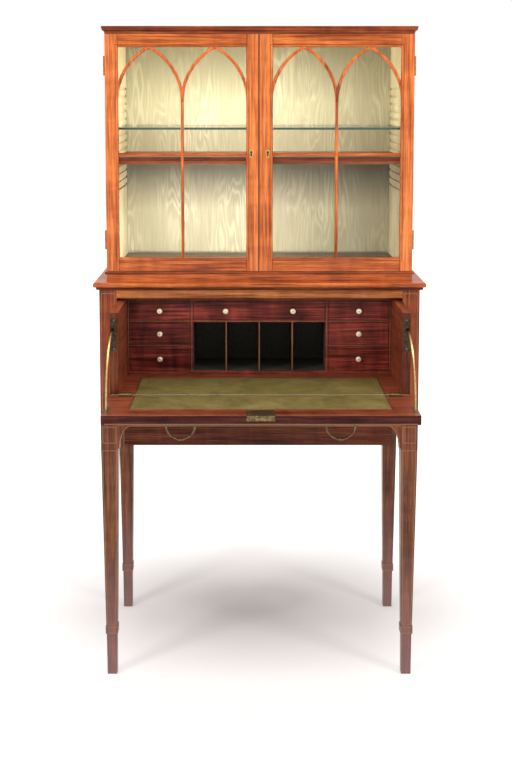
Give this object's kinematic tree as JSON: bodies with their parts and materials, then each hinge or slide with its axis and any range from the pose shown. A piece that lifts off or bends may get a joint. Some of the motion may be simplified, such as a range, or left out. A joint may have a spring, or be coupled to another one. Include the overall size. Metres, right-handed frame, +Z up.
{
  "type": "secretary_bookcase",
  "caption": "Mahogany secretary bookcase: glazed upper case with pointed-arch bars over a desk on tapered legs, its writing drawer pulled out and its fall front down.",
  "frame": {"origin": "on the floor under the middle of the whole piece's box, with the writing drawer out and the fall down", "axes": "+Z is up, the front faces -Y, +X is to the right of someone facing it from the front along +Y"},
  "size_m": [0.825, 0.854, 1.648],
  "materials": {
    "mahogany_case": "waxed",
    "mahogany_dark": "waxed",
    "mahogany_fall": "waxed",
    "mahogany_unit": "waxed",
    "drawer_lining": "waxed",
    "cream_paint": "matt painted",
    "aged_brass": "aged, worn bright",
    "olive_leather": "worn skiver with gilt tooling",
    "cream_silk": "watered silk",
    "old_glass": "clear",
    "shelf_glass": "clear, green edge",
    "turned_bone": "polished bone"
  },
  "bodies": {
    "left_door": {"left_door_frame": "mahogany_case", "left_glazing_bars": "mahogany_case", "left_panes": "old_glass", "left_door_lock": "aged_brass", "left_door_hinges": "aged_brass"},
    "right_door": {"right_door_frame": "mahogany_case", "right_glazing_bars": "mahogany_case", "right_panes": "old_glass", "right_door_lock": "aged_brass", "right_door_hinges": "aged_brass", "meeting_bead": "mahogany_case"},
    "secretaire_drawer": {"drawer_box": "mahogany_fall", "drawer_floor": "mahogany_fall", "writing_leather": "olive_leather", "drawer_brasses": "aged_brass", "pigeonhole_unit": "mahogany_unit", "pigeonhole_dividers": "mahogany_unit"},
    "fall_front": {"fall_panel": "mahogany_fall", "fall_leather": "olive_leather", "fall_hinge_leaves": "aged_brass", "fall_lock": "aged_brass", "quadrant_stays": "aged_brass", "bail_posts": "aged_brass"},
    "lock_bolt": {"fall_lock_bolt": "aged_brass"},
    "left_handle": {"left_bail": "aged_brass"},
    "right_handle": {"right_bail": "aged_brass"},
    "centre_box": {"centre_drawer": "mahogany_unit", "centre_knobs": "turned_bone"},
    "left_lower_box": {"left_lower_drawer": "mahogany_unit", "left_lower_knob": "turned_bone"},
    "right_lower_box": {"right_lower_drawer": "mahogany_unit", "right_lower_knob": "turned_bone"},
    "left_middle_box": {"left_middle_drawer": "mahogany_unit", "left_middle_knob": "turned_bone"},
    "right_middle_box": {"right_middle_drawer": "mahogany_unit", "right_middle_knob": "turned_bone"},
    "left_upper_box": {"left_upper_drawer": "mahogany_unit", "left_upper_knob": "turned_bone"},
    "right_upper_box": {"right_upper_drawer": "mahogany_unit", "right_upper_knob": "turned_bone"},
    "case": {"bookcase_back": "mahogany_dark", "bookcase_boards": "mahogany_case", "bookcase_sides": "mahogany_case", "case_hinge_leaves": "aged_brass", "corner_brackets": "mahogany_case", "cornice": "mahogany_dark", "desk_top": "mahogany_dark", "drawer_runners": "drawer_lining", "frieze_rail": "mahogany_case", "front_apron": "mahogany_case", "front_legs": "mahogany_case", "glass_shelf": "shelf_glass", "leg_collars": "mahogany_case", "lower_back": "mahogany_dark", "plinth": "mahogany_case", "rear_legs": "mahogany_case", "side_linings": "cream_paint", "side_panels": "mahogany_case", "silk_lining": "cream_silk", "wood_shelf": "mahogany_case"}
  },
  "joints": [
    {"name": "left_door_hinge", "type": "hinge", "parent": "case", "child": "left_door", "pos_m": [-0.3835, -0.0166, 1.336], "axis": [0, 0, -1], "range_deg": [0, 115]},
    {"name": "right_door_hinge", "type": "hinge", "parent": "case", "child": "right_door", "pos_m": [0.3835, -0.0166, 1.336], "axis": [0, 0, 1], "range_deg": [0, 115]},
    {"name": "writing_drawer_slide", "type": "slide", "parent": "case", "child": "secretaire_drawer", "axis": [0, 1, 0], "range_m": [0, 0.198]},
    {"name": "fall_hinge", "type": "hinge", "parent": "secretaire_drawer", "child": "fall_front", "pos_m": [0, -0.227, 0.775], "axis": [-1, 0, 0], "range_deg": [0, 90]},
    {"name": "lock_bolt_slide", "type": "slide", "parent": "fall_front", "child": "lock_bolt", "axis": [0, -1, 0], "range_m": [0, 0.008]},
    {"name": "left_bail_swing", "type": "hinge", "parent": "fall_front", "child": "left_handle", "pos_m": [-0.181, -0.363, 0.744], "axis": [1, 0, 0], "range_deg": [-85, 85]},
    {"name": "right_bail_swing", "type": "hinge", "parent": "fall_front", "child": "right_handle", "pos_m": [0.181, -0.363, 0.744], "axis": [1, 0, 0], "range_deg": [-85, 85]},
    {"name": "left_lower_slide", "type": "slide", "parent": "secretaire_drawer", "child": "left_lower_box", "axis": [0, -1, 0], "range_m": [0, 0.11]},
    {"name": "right_lower_slide", "type": "slide", "parent": "secretaire_drawer", "child": "right_lower_box", "axis": [0, -1, 0], "range_m": [0, 0.11]},
    {"name": "left_middle_slide", "type": "slide", "parent": "secretaire_drawer", "child": "left_middle_box", "axis": [0, -1, 0], "range_m": [0, 0.11]},
    {"name": "right_middle_slide", "type": "slide", "parent": "secretaire_drawer", "child": "right_middle_box", "axis": [0, -1, 0], "range_m": [0, 0.11]},
    {"name": "left_upper_slide", "type": "slide", "parent": "secretaire_drawer", "child": "left_upper_box", "axis": [0, -1, 0], "range_m": [0, 0.11]},
    {"name": "right_upper_slide", "type": "slide", "parent": "secretaire_drawer", "child": "right_upper_box", "axis": [0, -1, 0], "range_m": [0, 0.11]},
    {"name": "centre_slide", "type": "slide", "parent": "secretaire_drawer", "child": "centre_box", "axis": [0, -1, 0], "range_m": [0, 0.11]}
  ]
}
